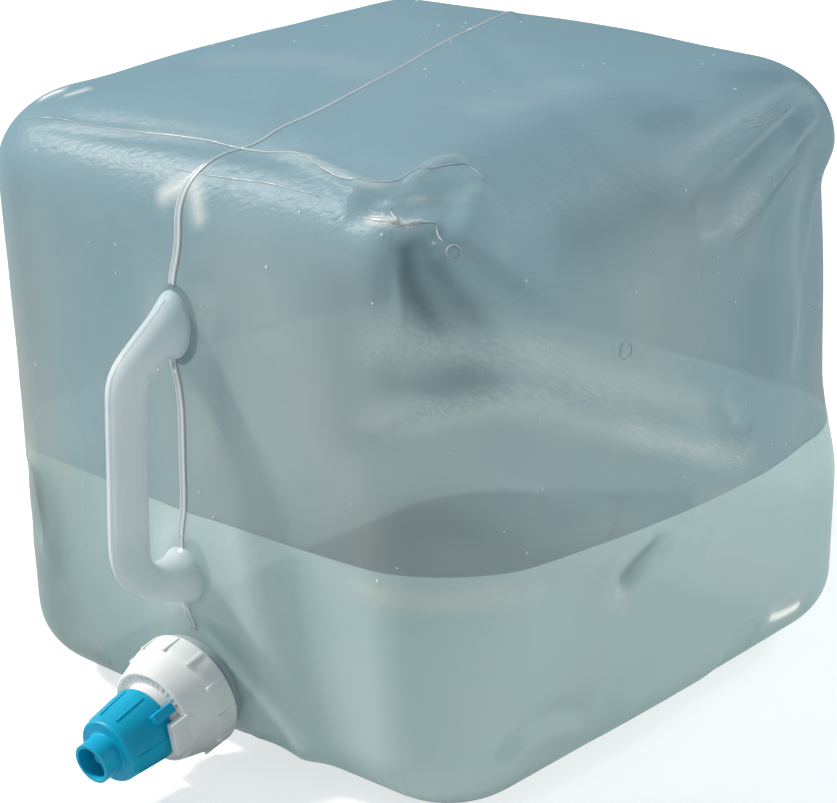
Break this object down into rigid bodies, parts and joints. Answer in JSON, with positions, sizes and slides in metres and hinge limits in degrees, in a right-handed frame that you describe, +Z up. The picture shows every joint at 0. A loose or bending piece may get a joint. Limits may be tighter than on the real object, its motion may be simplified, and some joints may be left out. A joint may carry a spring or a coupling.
{
  "type": "jerry can",
  "caption": "Collapsible cube-shaped translucent water carrier with a hollow loop handle, screw cap and twist tap low on the front.",
  "frame": {"origin": "middle of the flat bottom, on the surface that the carrier stands on", "axes": "+Z up; -Y is the front, with the handle and the tap; +X is to the right of a person looking at the front"},
  "size_m": [0.3246, 0.3788, 0.2872],
  "materials": {
    "film": "soft translucent film, faint blue grey",
    "handle": "thicker milky moulding",
    "neck": "thicker milky moulding",
    "white": "satin moulded",
    "blue": "satin moulded",
    "seal": "plain"
  },
  "bodies": {
    "root": {"front_wall": "film", "right_wall": "film", "left_wall": "film", "top_wall": "film", "bottom_wall": "film", "carry_handle": "handle", "threaded_neck": "neck"},
    "back": {"back_wall": "film"},
    "gasket": {"cap_gasket": "seal"},
    "cap": {"screw_cap": "white", "spout_stem": "white"},
    "tap_seal": {"tap_seal_ring": "seal"},
    "tap": {"tap_barrel": "blue", "valve_plug": "blue"}
  },
  "joints": [
    {"name": "collapse", "type": "slide", "parent": "root", "child": "back", "axis": [0, -1, 0], "range_m": [0, 0.215], "deforming": ["right_wall", "left_wall", "top_wall", "bottom_wall"]},
    {"name": "cap_travel", "type": "slide", "parent": "root", "child": "gasket", "axis": [0.0689, -0.9853, -0.1564], "range_m": [0, 0.0253]},
    {"name": "cap_turn", "type": "hinge", "parent": "gasket", "child": "cap", "pos_m": [0, -0.157, 0.0375], "axis": [0.0689, -0.9853, -0.1564], "range_deg": [0, 2160]},
    {"name": "tap_travel", "type": "slide", "parent": "cap", "child": "tap_seal", "axis": [0.0689, -0.9853, -0.1564], "range_m": [0, 0.0061]},
    {"name": "tap_turn", "type": "hinge", "parent": "tap_seal", "child": "tap", "pos_m": [0, -0.157, 0.0375], "axis": [0.0689, -0.9853, -0.1564], "range_deg": [0, 270]}
  ],
  "couplings": [
    {"joint": "cap_travel", "follows": "cap_turn", "m_per_rad": 0.00066845},
    {"joint": "tap_travel", "follows": "tap_turn", "m_per_rad": 0.0012732}
  ]
}
